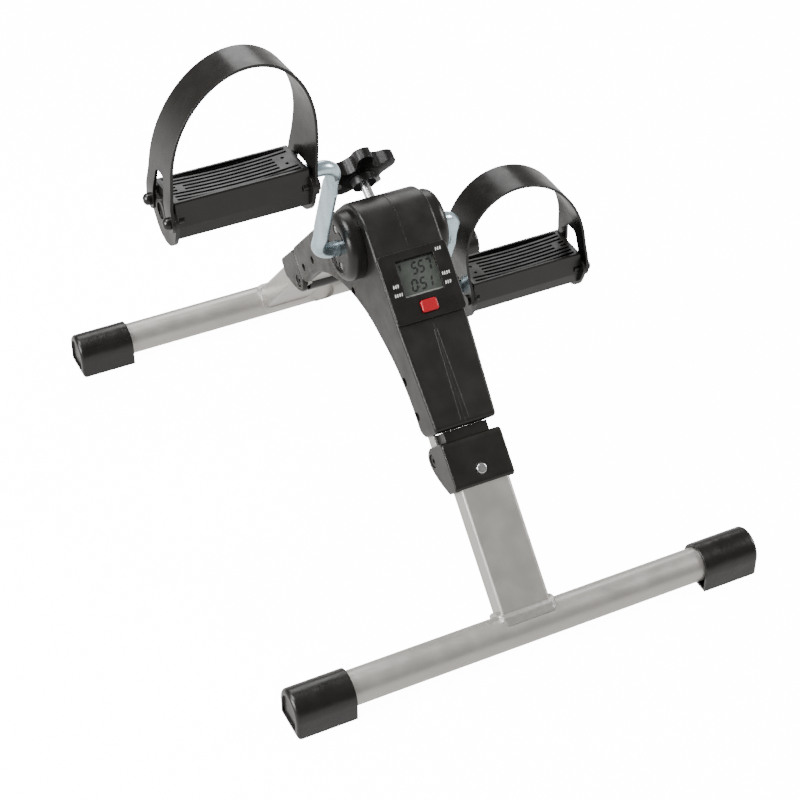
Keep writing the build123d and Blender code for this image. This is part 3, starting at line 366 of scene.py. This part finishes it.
ink = finish_of("display_ink", (0.0025, 0.003, 0.0025), 0.6, edge=0.00005, edge_wear_and_highlight=1.0)
figures = []
for sign, x in (("5", -3.6), ("5", 2.2), ("7", 8.2)):
    figures.extend(digit(sign, x, UPPER_ROW))
for sign, x in (("0", -7.8), ("5", -0.4), ("1", 5.2)):
    figures.extend(digit(sign, x, LOWER_ROW))
# the colon of the lower row, and a small mark at the left of the upper one
for s in (45.2, 48.6):
    figures.append([(-2.2, s), (-1.2, s), (-1.4, s + 1.1), (-2.4, s + 1.1)])
figures.append([(-13.4, 28.8), (-11.6, 28.8), (-12.2, 33.4), (-13.6, 33.4)])
on_arm("display_figures", figures, *INK_ON_GLASS, ink)

# The pane's half width and ends, and the inner edges of the strips round it, in mm: a painted
# shadow along its top and left, and a painted highlight along its foot.
PANE = 16.5
PANE_TOP = 25.5
PANE_END = 55.0
RECESS = 15.2
RECESS_TOP = 26.9
SILL = 53.6

# Near-black strips along the top and left of the pane are a painted shadow inside the display's
# recess.
shadow = finish_of("recess_shadow", (0.006, 0.006, 0.006), 0.6, edge=0.00005, edge_wear_and_highlight=1.0)
# The pale grey strip along the foot of the pane is a painted highlight on the recess's lower edge.
sill_highlight_paint = finish_of("recess_edge_highlight", (0.30, 0.31, 0.29), 0.5, edge=0.00005, edge_wear_and_highlight=1.0, spread=0.08)
recess_top = [(-PANE, PANE_TOP), (PANE, PANE_TOP), (PANE, RECESS_TOP), (-RECESS, RECESS_TOP)]
recess_side = [(-PANE, PANE_TOP), (-RECESS, RECESS_TOP), (-RECESS, PANE_END), (-PANE, PANE_END)]
sill = [(-RECESS, SILL), (PANE, SILL), (PANE, PANE_END), (-RECESS, PANE_END)]
on_arm("display_recess_shadow", [recess_top, recess_side], *ON_GLASS, shadow)
on_arm("display_sill_highlight", [sill], *ON_GLASS, sill_highlight_paint)

print_white = finish_of("print_white", (0.80, 0.80, 0.78), 0.5, edge=0.00005, spread=0.08, edge_wear_and_highlight=1.0)


STROKE_STEP = 1.9
STROKE_HEIGHT = 2.6
STROKE_WIDTH = 0.85
STROKE_LEAN = 0.5


def legend(x, s, count):
    """Row of plain strokes where a display of this kind has its legends."""
    top = s - STROKE_HEIGHT / 2
    foot = s + STROKE_HEIGHT / 2
    marks = []
    for i in range(count):
        left = x + (i - count / 2) * STROKE_STEP + 0.3
        marks.append([(left + STROKE_LEAN, top), (left + STROKE_LEAN + STROKE_WIDTH, top),
                      (left + STROKE_WIDTH, foot), (left, foot)])
        if i % 2 == 0:
            marks.append([(left + STROKE_WIDTH, s - 0.3), (left + 1.5, s - 0.3),
                          (left + 1.4, s + 0.3), (left + 0.75, s + 0.3)])
    return marks


legends = legend(-21.8, 44.5, 3) + legend(-21.6, 51.4, 4) + legend(21.4, 24.2, 3)
legends += legend(21.6, 44.2, 4) + legend(21.0, 51.6, 3)
on_arm("display_legends", legends, *ON_BEZEL, print_white)


# ------------------------------------------------- parting lines of the housing
GROOVE = 0.00022
FINE_GROOVE = 0.00018
RIDGE = 0.00028
RIDGE_BASE = 33.9
ARM_LAST = 158.0


def thread(name, points, radius, look, body="housing"):
    """Thin round line through the points, riding on a body."""
    curve = bpy.data.curves.new(name, "CURVE")
    curve.dimensions = "3D"
    curve.bevel_depth = radius
    curve.bevel_resolution = 2
    spline = curve.splines.new("POLY")
    spline.points.add(len(points) - 1)
    for item, point in zip(spline.points, points):
        item.co = (*point, 1)
    curve.materials.append(look)
    obj = bpy.data.objects.new(name, curve)
    bpy.context.scene.collection.objects.link(obj)
    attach(obj, body)


groove = finish_of("parting_line", (0.0035, 0.0035, 0.0035), 0.6, edge=0.00005, edge_wear_and_highlight=1.0)
# The thin ridges on the front arm are coloured lighter than the housing, as a painted highlight
# along them.
ridge_highlight = finish_of("moulded_ridge_highlight", (0.022, 0.021, 0.021), 0.40, edge=0.00005, edge_wear_and_highlight=1.0)
hub_line = [arm("front", 0, s, ARM_TOP) for s in (18.0, 9.0)]
reach = ARM_TOP / 1000
for degrees in range(135, 45, -5):
    a = radians(degrees)
    hub_line.append(Vector((0, ARM_Y + reach * cos(a), ARM_Z + reach * sin(a))))
thread("hub_parting_line", hub_line, GROOVE, groove)
thread("front_parting_line", [arm("front", 0, s, ARM_TOP) for s in (76.0, ARM_LAST)],
       FINE_GROOVE, groove)
thread("rear_parting_line", [arm("rear", 0, s, ARM_TOP) for s in (12.0, ARM_LAST)],
       GROOVE, groove)
for name, k in (("front_left_ridge_highlight", -1), ("front_right_ridge_highlight", 1)):
    ends = [arm("front", k * x, s, RIDGE_BASE) for x, s in ((1.2, 84.0), (3.6, 157.0))]
    thread(name, ends, RIDGE, ridge_highlight)
